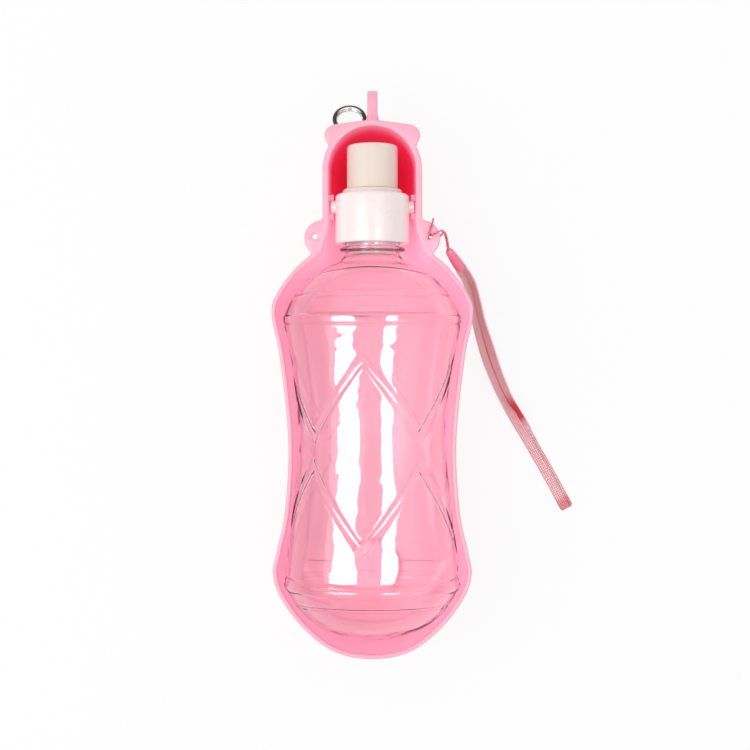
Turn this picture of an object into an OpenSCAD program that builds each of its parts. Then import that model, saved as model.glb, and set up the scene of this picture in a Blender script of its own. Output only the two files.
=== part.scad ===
// Travel water bottle for dogs: a clear bottle that swings out of its drinking trough.
// It lies on the trough's flat back. +Z is up, +Y is towards the hood, the floor is at Z = 0.
// Distances along the bottle, called s, are counted from the pivot towards the bottle's base.

/* [Trough] */
// Height of the trough's rim above its flat back
rim_z = 44; // [42:0.5:54]
// Half the width of the hood, outside
hood_half = 23.7; // [22.5:0.1:29]
// Half the width of the upper bulge, outside
upper_half = 48; // [44:0.5:58]
// Half the width of the waist, outside
waist_half = 40; // [36:0.5:48]
// Half the width of the lower bulge, outside
lower_half = 47.3; // [43:0.1:57]
// From the pivot to the middle of the upper bulge
upper_s = 51; // [46:0.5:60]
// From the pivot to the waist
waist_s = 111; // [96:1:130]
// From the pivot to the lower bulge
lower_s = 174.6; // [160:0.1:205]
// From the pivot to the trough's lower tip
tip_s = 215.2; // [205:0.1:260]
// From the pivot to the top of the hood's arch, outside
arch_reach = 41.1; // [40:0.1:50]
// Wall of the trough round the bottle
wall = 2.1; // [1.7:0.1:2.6]
// Wall of the hood, which carries the pivot sockets
hood_wall = 3; // [2.5:0.1:3.6]
// Thickness of the trough's floor
floor_t = 2; // [1.6:0.1:2.6]
// Radius between the floor and the walls, outside
floor_r = 13; // [10:0.5:14]
// How far the walls lean in from the rim to that radius
draft = 1.9; // [1:0.1:2.4]

/* [Ears and lugs] */
// Thickness of the flat ears at the rim
ear_t = 3; // [2.4:0.1:4]
// Radius of the two small ears on the hood
small_ear_r = 5.2; // [4.4:0.1:6.4]
// Radius of the two strap ears
strap_ear_r = 8.6; // [7.4:0.1:10]
// Radius of the hole in each strap ear
strap_hole_r = 1.35; // [1.1:0.05:1.8]
// Thickness of the hanging lug on the hood
lug_t = 5; // [4:0.1:6]
// Radius of the hanging lug's round end
lug_r = 8; // [7:0.1:9.5]
// Radius of the eye through the hanging lug
eye_r = 4; // [3:0.1:4.8]
// From the hood's arch to the tip of the hanging lug
lug_reach = 17; // [16:0.5:21]

/* [Bottle] */
// Height of the pivot and of the bottle's middle above the floor
pivot_z = 38; // [36.5:0.5:42]
// Half the bottle's depth at its two bulges
bulge_depth = 31; // [26:0.5:32]
// Half the bottle's depth at its waist
waist_depth = 26.5; // [22:0.5:30]
// Gap between the bottle and the trough's wall at the bulges
bulge_gap = 3.4; // [2.4:0.1:5]
// Gap between the bottle and the trough's wall at the waist
waist_gap = 2.6; // [2:0.1:4]
// Gap between the bottle's base and the trough's lower tip
base_gap = 6.2; // [4:0.1:9]
// Wall of the bottle
bottle_wall = 0.9; // [0.7:0.1:1.4]
// Radius of the bottle's neck, outside
neck_r = 13; // [11.5:0.1:13.4]
// Wall of the neck
neck_wall = 1.8; // [1.4:0.1:2.4]
// Radius of the bead below the collar
bead_r = 15.7; // [14.6:0.1:17]
// Pitch of the neck's thread
thread_pitch = 4; // [3:0.5:5]

/* [Cap] */
// Radius of the screw collar
collar_r = 17.7; // [17:0.1:18]
// From the pivot to the collar's top face
collar_top = 6; // [5:0.1:7]
// From the pivot to the collar's lower edge
collar_skirt = 17.5; // [16:0.1:19]
// Thickness of the collar's top
deck_t = 2.4; // [2:0.1:3]
// Radius of the two pivot pins
pin_r = 3.2; // [2.6:0.1:3.8]
// Radius of the step ring below the nozzle
step_r = 14.2; // [13.6:0.1:15.5]
// Height of the step ring
step_h = 2.3; // [2:0.1:4]
// Radius of the nozzle
nozzle_r = 12.1; // [11.4:0.1:12.6]
// Length of the nozzle
nozzle_len = 21; // [19:0.1:21.5]
// How far the nozzle pulls out
nozzle_travel = 3; // [2:0.1:3]
// Radius of the flow hole in the nozzle
flow_r = 2.6; // [2:0.1:3.2]

/* [Fits] */
// Running gap of the pivot pins in their sockets, on the radius
pin_gap = 0.1; // [0.05:0.01:0.2]
// Gap between the cap's own sliding and seated parts, on the radius
slip_gap = 0.15; // [0.1:0.01:0.25]
// Gap under a piece that rests on another body
rest_gap = 0.3; // [0.2:0.05:0.5]

/* [Ring] */
// Outside radius of the metal ring
ring_r = 8.7; // [8:0.1:10]
// Width of the ring's band, across
ring_band = 2.4; // [2:0.1:2.6]
// Height of the ring's two turns together
ring_h = 3; // [2.4:0.1:3.2]
// Angle at which the ring leans down to the floor
ring_lean = 29; // [20:1:32]

/* [Strap] */
// Thickness of the hitch cord
cord_d = 1.6; // [1.2:0.1:2]
// Width of the two bands of the wrist loop together
band_w = 7.9; // [6:0.1:10]
// Thickness of the wrist loop's band
band_t = 1.4; // [1:0.1:2]
// Thickness of the sleeve that joins cord and loop
sleeve_d = 5; // [4:0.1:6]

/* [Hidden] */
$fn = 96;

// Extra length that carries a cut clean past the faces it goes through
over = 0.6;

// From the pivot to the hanging lug's tip, and where the pivot lies when the length is centred
lug_tip = arch_reach + lug_reach;
pivot_y = (tip_s - lug_tip) / 2;

// Colours
pink = "#ffb4cc";
clear = [0.95, 0.97, 1, 0.3];
white = "#fdf0ee";
cream = "#eedfd2";
rubber = "#e9e4de";
steel = "#c8c8cc";
strap_pink = "#f08296";

// Arc of points round a centre, from one angle to another
function arc(cx, cy, r, a0, a1, n) = [for (i = [0:n]) let (a = a0 + (a1 - a0) * i / n)
    [cx + r * cos(a), cy + r * sin(a)]];

// One point of a smooth curve between p1 and p2, which also knows its neighbours p0 and p3
function smooth_point(p0, p1, p2, p3, t) = 0.5 * (2 * p1 + (p2 - p0) * t
    + (2 * p0 - 5 * p1 + 4 * p2 - p3) * t * t + (3 * p1 - p0 - 3 * p2 + p3) * t * t * t);

// A smooth curve through the middle points of a list, whose first and last only steer it
function smooth(pts, n) = [for (i = [1:len(pts) - 3]) for (k = [0:n - 1])
    smooth_point(pts[i - 1], pts[i], pts[i + 1], pts[i + 2], k / n), pts[len(pts) - 2]];

// A point part of the way from one station to the next, each part on its own scale
function between(a, b, fx, fs) = [a[0] + (b[0] - a[0]) * fx, a[1] + (b[1] - a[1]) * fs];

// Outline of the trough's rim, right half, from the arch's top to the lower tip: [half width, s]
arch_s = -arch_reach + hood_half;
hood_end = [hood_half, 10];
upper = [upper_half, upper_s];
waist = [waist_half, waist_s];
lower = [lower_half, lower_s];
tip = [0, tip_s];
beside_tip = between(tip, lower, 0.37, 0.08);
side_stations = [
    [hood_half, arch_s],
    hood_end,
    between(hood_end, upper, 0.115, 0.244),
    between(hood_end, upper, 0.527, 0.473),
    between(hood_end, upper, 0.877, 0.751),
    upper,
    between(upper, waist, 0.5, 0.35),
    waist,
    between(waist, lower, 0.2, 0.52),
    between(waist, lower, 0.74, 0.83),
    lower,
    between(tip, lower, 0.92, 0.71),
    between(tip, lower, 0.68, 0.345),
    beside_tip,
    tip,
    [-beside_tip[0], beside_tip[1]]
];
arch_half = arc(0, arch_s, hood_half, -90, 0, 10);
right_half = concat(arch_half, smooth(side_stations, 4));
last = len(right_half) - 1;
rim_line = concat(right_half, [for (i = [last - 1:-1:1]) [-right_half[i][0], right_half[i][1]]]);
rim_n = len(rim_line);

// Outward normal of the rim line at each point
function turn_right(v) = [v[1], -v[0]] / norm(v);
rim_normal = [for (i = [0:rim_n - 1])
    turn_right(rim_line[(i + 1) % rim_n] - rim_line[(i + rim_n - 1) % rim_n])];

// Wall at each point: the hood's wall, which thins to the bottle's wall over the shoulder
function blend(x, x0, x1, y0, y1) = y0 + (y1 - y0) * min(1, max(0, (x - x0) / (x1 - x0)));
shoulder_s = upper_s * 0.7;
wall_at = [for (p = rim_line) blend(p[1], hood_end[1], shoulder_s, hood_wall, wall)];

// The rim line moved in by d, as points at height z in the row's frame
function ring_at(d, z) = [for (i = [0:rim_n - 1])
    let (p = rim_line[i] - rim_normal[i] * d[i]) [p[0], pivot_y - p[1], z]];
function same(d) = [for (i = [0:rim_n - 1]) d];

fillet_steps = 6;
outer_rings = concat([ring_at(same(0), rim_z)],
    [for (k = [0:fillet_steps]) let (a = 90 * k / fillet_steps)
        ring_at(same(draft + floor_r * (1 - cos(a))), floor_r * (1 - sin(a)))]);
inner_rings = concat([ring_at(wall_at, rim_z)],
    [for (k = [0:fillet_steps]) let (a = 90 * k / fillet_steps)
        ring_at([for (t = wall_at) draft + floor_r - (floor_r - t) * cos(a)],
            floor_r - (floor_r - floor_t) * sin(a))]);

// Faces between ring k and ring k + 1 of rings with n points each
function band_faces(k, n) = [for (i = [0:n - 1]) for (f = [
    [k * n + i, k * n + (i + 1) % n, (k + 1) * n + (i + 1) % n],
    [k * n + i, (k + 1) * n + (i + 1) % n, (k + 1) * n + i]]) f];

// A flat cap over a ring that is alike on its left and right, as rungs from side to side
function ladder(first, n) = [for (i = [0:n / 2 - 1]) for (f = [
    [first + i, first + i + 1, first + (n - i - 1) % n],
    [first + i, first + (n - i - 1) % n, first + (n - i) % n]])
    if (f[0] != f[1] && f[1] != f[2] && f[0] != f[2]) f];
function flip(faces) = [for (f = faces) [f[2], f[1], f[0]]];

module trough_shell() {
    rings = concat([for (k = [len(outer_rings) - 1:-1:0]) outer_rings[k]], inner_rings);
    faces = concat(
        [for (k = [0:len(rings) - 2]) for (f = band_faces(k, rim_n)) f],
        flip(ladder(0, rim_n)),
        ladder((len(rings) - 1) * rim_n, rim_n));
    polyhedron(points = [for (r = rings) for (p = r) p], faces = faces);
}

// The trough's inside as a prism, half a wall larger than the opening, to trim what stands on the rim
module inside_prism() {
    pts = ring_at(wall_at * 0.5, 0);
    translate([0, 0, -over])
        linear_extrude(rim_z + 2 * over)
            polygon([for (p = pts) [p[0], p[1]]]);
}

// Middles of the ears and of the strap ears' holes: [distance to the side, s]
small_ear = [hood_half * 0.751, -arch_reach + 7.4];
strap_ear = [hood_half + 0.1, 15.2];
strap_hole = [hood_half + 3.5, 14.4];

// A small ear's top edge runs on straight to the hood's arch, this many degrees from its middle
ear_turn = 7.5;
ear_foot_r = hood_half - small_ear_r / 4;

module at_s(s, x = 0, z = 0) {
    translate([x, pivot_y - s, z])
        children();
}

module ear_plates() {
    for (side = [-1, 1]) {
        hull() {
            at_s(small_ear[1], side * small_ear[0], rim_z - ear_t)
                cylinder(r = small_ear_r, h = ear_t);
            at_s(arch_s - ear_foot_r * cos(ear_turn), side * ear_foot_r * sin(ear_turn), rim_z - ear_t)
                cylinder(r = hood_half - ear_foot_r, h = ear_t);
        }
        at_s(strap_ear[1], side * strap_ear[0], rim_z - ear_t)
            cylinder(r = strap_ear_r, h = ear_t);
    }
}

// How far the outside of the wall has leaned in at height z, and where it stands on the hood's end at x
function lean_at(z) = z >= floor_r ? draft * (rim_z - z) / (rim_z - floor_r)
    : draft + floor_r - sqrt(floor_r * floor_r - pow(floor_r - z, 2));
function hood_end_s(x, z) = arch_s - sqrt(pow(hood_half - lean_at(z), 2) - x * x);

// How deep a lug's root sits in the hood's wall
root = 0.8;

// Hanging lug: a round-ended plate with an eye, standing on the hood's end below the rim
lug_drop = 10;
lug_s = -lug_tip + lug_r;
lug_z = rim_z - lug_drop - lug_r;
lug_root_s = hood_end_s(lug_t / 2, lug_z - lug_r) + root;
module hanging_lug() {
    at_s(lug_s, -lug_t / 2, lug_z)
        rotate([0, 90, 0])
            cylinder(r = lug_r, h = lug_t);
    at_s(lug_root_s, -lug_t / 2, lug_z - lug_r)
        cube([lug_t, lug_root_s - lug_s, 2 * lug_r]);
}

// Small lug for the metal ring, low on the hood's end and just clear of the hanging lug
ring_play = 0.4;
ring_lug_wall = 1.6;
ring_lug_t = 2.6;
ring_floor_gap = 0.5;
ring_x = -ring_r - lug_t / 2 - rest_gap * 2 / 3;
ring_mid = ring_r - ring_band / 2;
ring_eye_r = norm([ring_band, ring_h]) / 2 + ring_play;
ring_lug_r = ring_eye_r + ring_lug_wall;
ring_s = -arch_reach + 0.1;
ring_eye_z = (ring_mid + ring_r) * sin(ring_lean) + ring_h / 2 * cos(ring_lean) + ring_floor_gap;
ring_root_s = hood_end_s(abs(ring_x), ring_eye_z - ring_lug_r) + root;
module ring_lug() {
    at_s(ring_s, ring_x - ring_lug_t / 2, ring_eye_z)
        rotate([0, 90, 0])
            cylinder(r = ring_lug_r, h = ring_lug_t);
    at_s(ring_root_s, ring_x - ring_lug_t / 2, ring_eye_z - ring_lug_r)
        cube([ring_lug_t, ring_root_s - ring_s, 2 * ring_lug_r]);
}

// Round rest under the bottle's lower bulge
pad_s = lower_s + 2;
pad_r = 14;
pad_edge = 2;
pad_top = pivot_z - bulge_depth - rest_gap;
module rest_pad() {
    at_s(pad_s, 0, floor_t - over)
        rotate_extrude()
            polygon(concat([[0, 0], [pad_r, 0]],
                arc(pad_r - pad_edge, pad_top - floor_t + over - pad_edge, pad_edge, 0, 90, 5),
                [[0, pad_top - floor_t + over]]));
}

// Sockets for the pivot pins: a ring on each inner wall, open at the top so that the cap clips in
socket_clear = 0.7;
socket_in = collar_r + socket_clear;
socket_out = hood_half - hood_wall / 2;
socket_wall = 2.7;
socket_lip = 1.4;
socket_bore = pin_r + pin_gap;
mouth_half = sqrt(pow(socket_bore, 2) - pow(socket_lip, 2));
module sockets() {
    for (side = [-1, 1])
        difference() {
            at_s(0, side > 0 ? socket_in : -socket_out, pivot_z)
                rotate([0, 90, 0])
                    cylinder(r = socket_bore + socket_wall, h = socket_out - socket_in);
            at_s(pin_r * 3, -hood_half, pivot_z + socket_lip)
                cube([2 * hood_half, pin_r * 6, rim_z]);
        }
}

// Pin holes: they end in the wall, and their mouth is a little narrower than the pin
hole_end = hood_half - hood_wall - 0.1;
module pin_holes() {
    at_s(0, -hole_end, pivot_z)
        rotate([0, 90, 0])
            cylinder(r = socket_bore, h = 2 * hole_end);
    at_s(mouth_half, -hole_end, pivot_z + socket_lip / 2)
        cube([2 * hole_end, 2 * mouth_half, rim_z]);
}

module trough() {
    color(pink)
        difference() {
            union() {
                trough_shell();
                difference() {
                    ear_plates();
                    inside_prism();
                }
                hanging_lug();
                ring_lug();
                sockets();
                rest_pad();
            }
            for (side = [-1, 1])
                at_s(strap_hole[1], side * strap_hole[0], rim_z - ear_t - over)
                    cylinder(r = strap_hole_r, h = ear_t + 2 * over);
            at_s(lug_s, -lug_t / 2 - over, lug_z)
                rotate([0, 90, 0])
                    cylinder(r = eye_r, h = lug_t + 2 * over);
            at_s(ring_s, ring_x - ring_lug_t / 2 - over, ring_eye_z)
                rotate([0, 90, 0])
                    cylinder(r = ring_eye_r, h = ring_lug_t + 2 * over);
            pin_holes();
        }
}

// Bottle: rings of an oval that swells from the neck to two bulges, [s, half width, half depth]
upper_bottle = upper_half - wall - bulge_gap;
waist_bottle = waist_half - wall - waist_gap;
lower_bottle = lower_half - wall - bulge_gap;
base_s = tip_s - wall - base_gap;
bead_gap = 1.7;
bead_s = collar_skirt + bead_gap;
bead_t = 2.4;
neck_end = bead_s + bead_t + 1;
crease_s = upper_s + 4.5;
function part_way(a, b, f) = a + (b - a) * f;
function shoulder(fs, fw, fd) = [part_way(neck_end, crease_s, fs), part_way(neck_r, upper_bottle, fw),
    part_way(neck_r, bulge_depth, fd)];
function base(fs, fw, fd) = [part_way(base_s, pad_s, fs), lower_bottle * fw, bulge_depth * fd];
bottle_stations = [
    [neck_end - 3, neck_r - 0.3, neck_r - 0.3],
    [neck_end - 1.5, neck_r - 0.3, neck_r - 0.3],
    [neck_end, neck_r + 0.1, neck_r + 0.1],
    shoulder(0.06, 0.12, 0.12),
    shoulder(0.19, 0.43, 0.42),
    shoulder(0.5, 0.78, 0.77),
    shoulder(0.85, 0.97, 0.96),
    [crease_s, upper_bottle, bulge_depth],
    [part_way(crease_s, waist_s, 0.4), part_way(upper_bottle, waist_bottle, 0.6),
        part_way(bulge_depth, waist_depth, 0.6)],
    [waist_s, waist_bottle, waist_depth],
    [part_way(waist_s, lower_s, 0.5), part_way(waist_bottle, lower_bottle, 0.4),
        part_way(waist_depth, bulge_depth, 0.4)],
    [pad_s, lower_bottle, bulge_depth],
    base(0.76, 0.95, 0.96),
    base(0.47, 0.83, 0.8),
    base(0.22, 0.62, 0.57),
    base(0.07, 0.35, 0.31),
    base(0.01, 0.14, 0.12),
    [base_s, 0, 0]
];
bottle_profile = smooth(bottle_stations, 2);
bottle_sides = 40;
function oval_ring(p) = [for (i = [0:bottle_sides - 1]) let (a = 360 * i / bottle_sides)
    [p[1] * cos(a), pivot_y - p[0], pivot_z + p[2] * sin(a)]];

// The profile moved in by d, square to its slope
function moved_in(profile, d) = [for (i = [0:len(profile) - 1])
    let (a = profile[max(i - 1, 0)], b = profile[min(i + 1, len(profile) - 1)],
        rise = (b[1] + b[2] - a[1] - a[2]) / 2, run = b[0] - a[0], long = norm([rise, run]))
            profile[i] + d * [rise, -run, -run] / long];

module bottle_body() {
    outer = bottle_profile;
    inner = moved_in(outer, bottle_wall);
    n = bottle_sides;
    rings = concat([for (k = [len(outer) - 1:-1:0]) oval_ring(outer[k])],
        [for (k = [0:len(inner) - 1]) oval_ring(inner[k])]);
    faces = concat(
        [for (k = [0:len(rings) - 2]) for (f = band_faces(k, n)) f],
        [for (i = [1:n - 2]) [0, i + 1, i]],
        [for (i = [1:n - 2]) [(len(rings) - 1) * n, (len(rings) - 1) * n + i, (len(rings) - 1) * n + i + 1]]);
    polyhedron(points = [for (r = rings) for (p = r) p], faces = faces);
}

// The neck's mouth, one gasket and snap below the collar's deck
neck_top = -collar_top + deck_t + 2;

// Moves to s along the bottle, with the local Z axis pointing to the base
module along_s(s) {
    translate([0, pivot_y - s, pivot_z])
        rotate([90, 0, 0])
            children();
}

// A thread ridge: a low trapezium that winds from the root radius to the crest and runs out at both ends
thread_h = 1.1;
thread_start = neck_top + 3.4;
thread_steps = 20;
module ridge(r_root, r_crest, start, turns) {
    n = turns * thread_steps;
    section = [[r_root, 1], [r_crest, 0.4], [r_crest, -0.4], [r_root, -1]];
    points = [for (k = [0:n]) let (a = 360 * k / thread_steps, grow = min(1, (k + 1) / 4, (n - k + 1) / 4))
        for (q = section) let (r = r_root + (q[0] - r_root) * grow)
            [r * cos(a), r * sin(a), start + thread_pitch * k / thread_steps + q[1] * grow]];
    sides = [for (k = [0:n - 1]) for (f = band_faces(k, 4)) f];
    last = n * 4;
    faces = concat(sides,
        [[2, 1, 0], [3, 2, 0], [last, last + 1, last + 2], [last, last + 2, last + 3]]);
    polyhedron(points = points, faces = r_crest > r_root ? flip(faces) : faces);
}

module bottle() {
    color(clear)
        difference() {
            union() {
                bottle_body();
                along_s(neck_top)
                    cylinder(r = neck_r, h = neck_end - neck_top);
                along_s(bead_s)
                    cylinder(r = bead_r, h = bead_t);
                along_s(0)
                    ridge(neck_r - 0.4, neck_r + thread_h, thread_start, 2);
            }
            along_s(neck_top - over)
                cylinder(r = neck_r - neck_wall, h = neck_end - neck_top + 2 * over);
        }
}

// Screw collar: a cap with a bore for the neck, a hole for the spout's sleeve and two pivot pins
sleeve_r = step_r - 2;
thread_gap = 0.4;
collar_bore = neck_r + thread_h + thread_gap;
edge = 0.8;
pin_end = hood_half - hood_wall - 0.7;
module collar() {
    color(white) {
        along_s(0)
            ridge(collar_bore + thread_gap, neck_r + 0.3, thread_start + thread_pitch / 2, 1.5);
        difference() {
            union() {
                along_s(-collar_top)
                    rotate_extrude()
                        polygon([[0, 0], [collar_r - edge, 0], [collar_r, edge],
                            [collar_r, collar_top + collar_skirt - edge / 2],
                            [collar_r - edge / 2, collar_top + collar_skirt], [0, collar_top + collar_skirt]]);
                translate([-pin_end, pivot_y, pivot_z])
                    rotate([0, 90, 0])
                        cylinder(r = pin_r, h = 2 * pin_end);
            }
            along_s(-collar_top - over)
                cylinder(r = sleeve_r + slip_gap, h = deck_t + 2 * over);
            along_s(-collar_top + deck_t)
                cylinder(r = collar_bore, h = collar_skirt + collar_top);
            along_s(-collar_top + deck_t)
                cylinder(r = snap_r + slip_gap, h = snap_t + thread_gap);
        }
    }
}

// Spout base: step ring on the collar, a sleeve snapped through its deck, a tower and a stem
tower_r = nozzle_r - 3.1;
tower_bore = tower_r - 2.2;
tower_play = 0.45;
nozzle_bore = tower_r + tower_play;
foot_gap = 0.2;
nozzle_foot = collar_top + step_h + foot_gap;
nozzle_tip = nozzle_foot + nozzle_len;
nozzle_top_t = 2.2;
stem_r = flow_r - 0.3;
stem_end = nozzle_tip - 0.3;
lip_h = 1.2;
lip_slope = 0.3;
stop_h = 0.35;
stop_s = nozzle_foot + nozzle_travel + lip_h + lip_slope + 0.15;
ring_groove_s = stop_s + 3;
groove_half = 0.8;
o_ring_d = 1.24;
groove_r = nozzle_bore - 0.1 - o_ring_d;
tower_top = nozzle_tip - nozzle_top_t - 4.4;
snap_r = sleeve_r + 0.5;
snap_t = 0.6;
deck_under = collar_top - deck_t;
snap_face = deck_under - 0.1;
base_face = snap_face - snap_t;
bar_t = 1.8;
bar_h = 2.6;
module spout_base() {
    color(cream)
        difference() {
            union() {
                // One turned profile: radius against the distance above the pivot
                translate([0, pivot_y, pivot_z])
                    rotate([-90, 0, 0])
                        rotate_extrude()
                            polygon([
                                [tower_bore, base_face], [snap_r - 0.3, base_face],
                                [snap_r, snap_face - 0.2], [snap_r, snap_face],
                                [sleeve_r, snap_face], [sleeve_r, collar_top],
                                [step_r, collar_top], [step_r, collar_top + step_h - edge],
                                [step_r - edge, collar_top + step_h], [tower_r, collar_top + step_h],
                                [tower_r, stop_s], [tower_r + stop_h, stop_s],
                                [tower_r + stop_h, stop_s + 0.6],
                                [tower_r, stop_s + 1], [tower_r, ring_groove_s - groove_half],
                                [groove_r, ring_groove_s - groove_half],
                                [groove_r, ring_groove_s + groove_half],
                                [tower_r, ring_groove_s + groove_half], [tower_r, tower_top - 0.5],
                                [tower_r - 0.5, tower_top], [tower_bore, tower_top]]);
                // Cross bars that carry the stem inside the tower
                for (turn = [0, 90])
                    translate([0, pivot_y + tower_top - 3, pivot_z])
                        rotate([0, turn, 0])
                            translate([-tower_bore - root / 2, 0, -bar_t / 2])
                                cube([2 * tower_bore + root, bar_h, bar_t]);
                along_s(-stem_end)
                    cylinder(r = stem_r, h = stem_end - tower_top + 3);
            }
        }
}

module nozzle() {
    round_r = 1.5;
    color(cream)
        translate([0, pivot_y, pivot_z])
            rotate([-90, 0, 0])
                rotate_extrude()
                    polygon(concat(
                        [[flow_r, nozzle_tip - nozzle_top_t], [nozzle_bore, nozzle_tip - nozzle_top_t],
                            [nozzle_bore, nozzle_foot + lip_h + lip_slope],
                            [tower_r + slip_gap, nozzle_foot + lip_h],
                            [tower_r + slip_gap, nozzle_foot], [nozzle_r - 0.3, nozzle_foot],
                            [nozzle_r, nozzle_foot + 0.3]],
                        arc(nozzle_r - round_r, nozzle_tip - round_r, round_r, 0, 90, 6),
                        [[flow_r, nozzle_tip]]));
}

module neck_gasket() {
    gasket_t = base_face + neck_top;
    color(rubber)
        along_s(neck_top - gasket_t)
            difference() {
                cylinder(r = neck_r + 0.6, h = gasket_t);
                translate([0, 0, -over])
                    cylinder(r = neck_r - neck_wall, h = gasket_t + 2 * over);
            }
}

module nozzle_o_ring() {
    color(rubber)
        translate([0, pivot_y + ring_groove_s, pivot_z])
            rotate([90, 0, 0])
                rotate_extrude()
                    translate([groove_r + o_ring_d / 2, 0])
                        circle(r = o_ring_d / 2 - 0.01, $fn = 24);
}

// Metal ring: two turns of flat wire, pressed together, through the small lug
module split_ring() {
    half = ring_h / 2;
    slit = 0.12;
    color(steel)
        translate([ring_x, pivot_y - ring_s, ring_eye_z])
            rotate([-ring_lean, 0, 0])
                translate([0, ring_mid, 0])
                    rotate_extrude()
                        polygon([
                            [ring_r - ring_band, 0.5 - half], [ring_r - ring_band + 0.5, -half],
                            [ring_r - 0.5, -half], [ring_r, 0.5 - half], [ring_r, -slit - 0.2],
                            [ring_r - 0.4, 0], [ring_r, slit + 0.2], [ring_r, half - 0.5],
                            [ring_r - 0.5, half], [ring_r - ring_band + 0.5, half],
                            [ring_r - ring_band, half - 0.5], [ring_r - ring_band, slit + 0.2],
                            [ring_r - ring_band + 0.4, 0], [ring_r - ring_band, -slit - 0.2]]);
}

// Strap routes, as points chosen by hand: [x, s, z]
cord_route = [
    [27.2, 14.4, 39.4], [27.2, 14.4, 42.5], [27.4, 14.2, 45.2], [28.8, 13, 46.2], [31, 11.8, 46],
    [33, 11.2, 44.6], [34.6, 12.6, 42], [35.6, 15.4, 38.8], [36.2, 18.4, 35.6], [36.8, 20.6, 33.4]];
sleeve_route = [[36.6, 20, 34], [43.1, 28.4, 27]];
loop_route = [
    [42.4, 27.6, 27.7], [45.6, 31.8, 23], [48.2, 36.2, 16.6], [50.2, 41.4, 10.4], [52, 47.4, 5.6],
    [53.9, 54.6, 2.8], [56.2, 63, 1.6], [59.3, 73, 1.1], [63.1, 83, 1.1], [67.4, 92.8, 1.1],
    [72, 101.2, 1.1], [76.9, 109.4, 1.1], [81.9, 118, 1.1], [87, 126.8, 1.1], [92.6, 137, 1.1],
    [98.1, 147.3, 1.1]];
function route_in_frame(r) = [for (p = r) [p[0], pivot_y - p[1], p[2]]];
function unit(v) = v / norm(v);
function along_at(r, i) = unit(r[min(i + 1, len(r) - 1)] - r[max(i - 1, 0)]);

// An oval tube along a route; its flat side faces up
module swept(route, across, thick, n) {
    r = route_in_frame(route);
    m = len(r);
    points = [for (i = [0:m - 1])
        let (t = along_at(r, i), side = unit(cross(t, [0, 0, 1]) + [0.001, 0, 0]), up = cross(side, t))
            for (k = [0:n - 1]) let (a = 360 * (k + 0.5) / n)
                r[i] + side * across / 2 * cos(a) + up * thick / 2 * sin(a)];
    faces = concat(
        [for (i = [0:m - 2]) for (f = band_faces(i, n)) [f[2], f[1], f[0]]],
        [for (k = [1:n - 2]) [0, k, k + 1]],
        [for (k = [1:n - 2]) [(m - 1) * n, (m - 1) * n + k + 1, (m - 1) * n + k]]);
    polyhedron(points = points, faces = faces);
}

module strap_cord() {
    color(strap_pink)
        swept(cord_route, cord_d, cord_d, 8);
}

module strap_ferrule() {
    color(strap_pink)
        swept(sleeve_route, sleeve_d, sleeve_d * 0.8, 12);
}

module wrist_strap() {
    color(strap_pink)
        swept(loop_route, band_w, band_t, 8);
}

trough();
bottle();
collar();
spout_base();
nozzle();
neck_gasket();
nozzle_o_ring();
split_ring();
strap_cord();
strap_ferrule();
wrist_strap();
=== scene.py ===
import math
import bmesh
import bpy
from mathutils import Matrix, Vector


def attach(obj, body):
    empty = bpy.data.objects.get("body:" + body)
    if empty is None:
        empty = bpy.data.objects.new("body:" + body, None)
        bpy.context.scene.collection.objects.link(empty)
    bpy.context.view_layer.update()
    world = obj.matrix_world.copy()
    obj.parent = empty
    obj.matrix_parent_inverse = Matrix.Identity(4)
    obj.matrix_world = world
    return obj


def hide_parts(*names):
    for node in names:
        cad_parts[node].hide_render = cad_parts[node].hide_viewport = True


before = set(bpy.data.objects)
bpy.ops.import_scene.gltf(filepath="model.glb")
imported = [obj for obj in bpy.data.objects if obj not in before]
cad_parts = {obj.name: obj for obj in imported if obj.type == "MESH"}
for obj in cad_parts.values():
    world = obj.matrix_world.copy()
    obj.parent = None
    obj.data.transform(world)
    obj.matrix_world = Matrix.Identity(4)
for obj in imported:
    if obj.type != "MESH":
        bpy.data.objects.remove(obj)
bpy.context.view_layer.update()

# The view. The bottle lies in its trough on a white table and is seen from straight above.
# Everything is in metres; mm turns millimetres into metres.
mm = 0.001
camera_data = bpy.data.cameras.new("camera")
camera_data.sensor_width = 36
camera_data.lens = 68.8
camera = bpy.data.objects.new("camera", camera_data)
camera.location = (1.28 * mm, -1.65 * mm, 724 * mm)
bpy.context.scene.collection.objects.link(camera)
bpy.context.scene.camera = camera
bpy.context.scene.view_settings.view_transform = "Standard"


# The hitch cord. One thin woven cord runs up from the sleeve, through the right strap ear's hole,
# round the ear's edge twice and back down, and its two strands are twisted between knot and sleeve.
pivot_y = 78.55


def place(x, s, z):
    """A point in the row frame, from millimetres across, along the bottle from the pivot, and up."""
    return Vector((x, pivot_y - s, z)) * mm


def smooth_line(points, steps):
    """A curve through all the points, with so many steps between each two."""
    ends = [points[0] * 2 - points[1]] + list(points) + [points[-1] * 2 - points[-2]]
    line = []
    for a, b, c, d in zip(ends, ends[1:], ends[2:], ends[3:]):
        for k in range(steps):
            t = k / steps
            line.append((b * 2 + (c - a) * t + (a * 2 - b * 5 + c * 4 - d) * t * t
                         + (b * 3 - a - c * 3 + d) * t ** 3) / 2)
    return line + [points[-1]]


def even_line(line, step):
    """The same line with points an even step apart."""
    lengths = [0]
    for a, b in zip(line, line[1:]):
        lengths.append(lengths[-1] + (b - a).length)
    count = max(2, round(lengths[-1] / step))
    out, k = [], 0
    for i in range(count + 1):
        at = lengths[-1] * i / count
        while k < len(line) - 2 and lengths[k + 1] < at:
            k += 1
        f = (at - lengths[k]) / max(lengths[k + 1] - lengths[k], 1e-12)
        out.append(line[k].lerp(line[k + 1], min(f, 1)))
    return out


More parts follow.
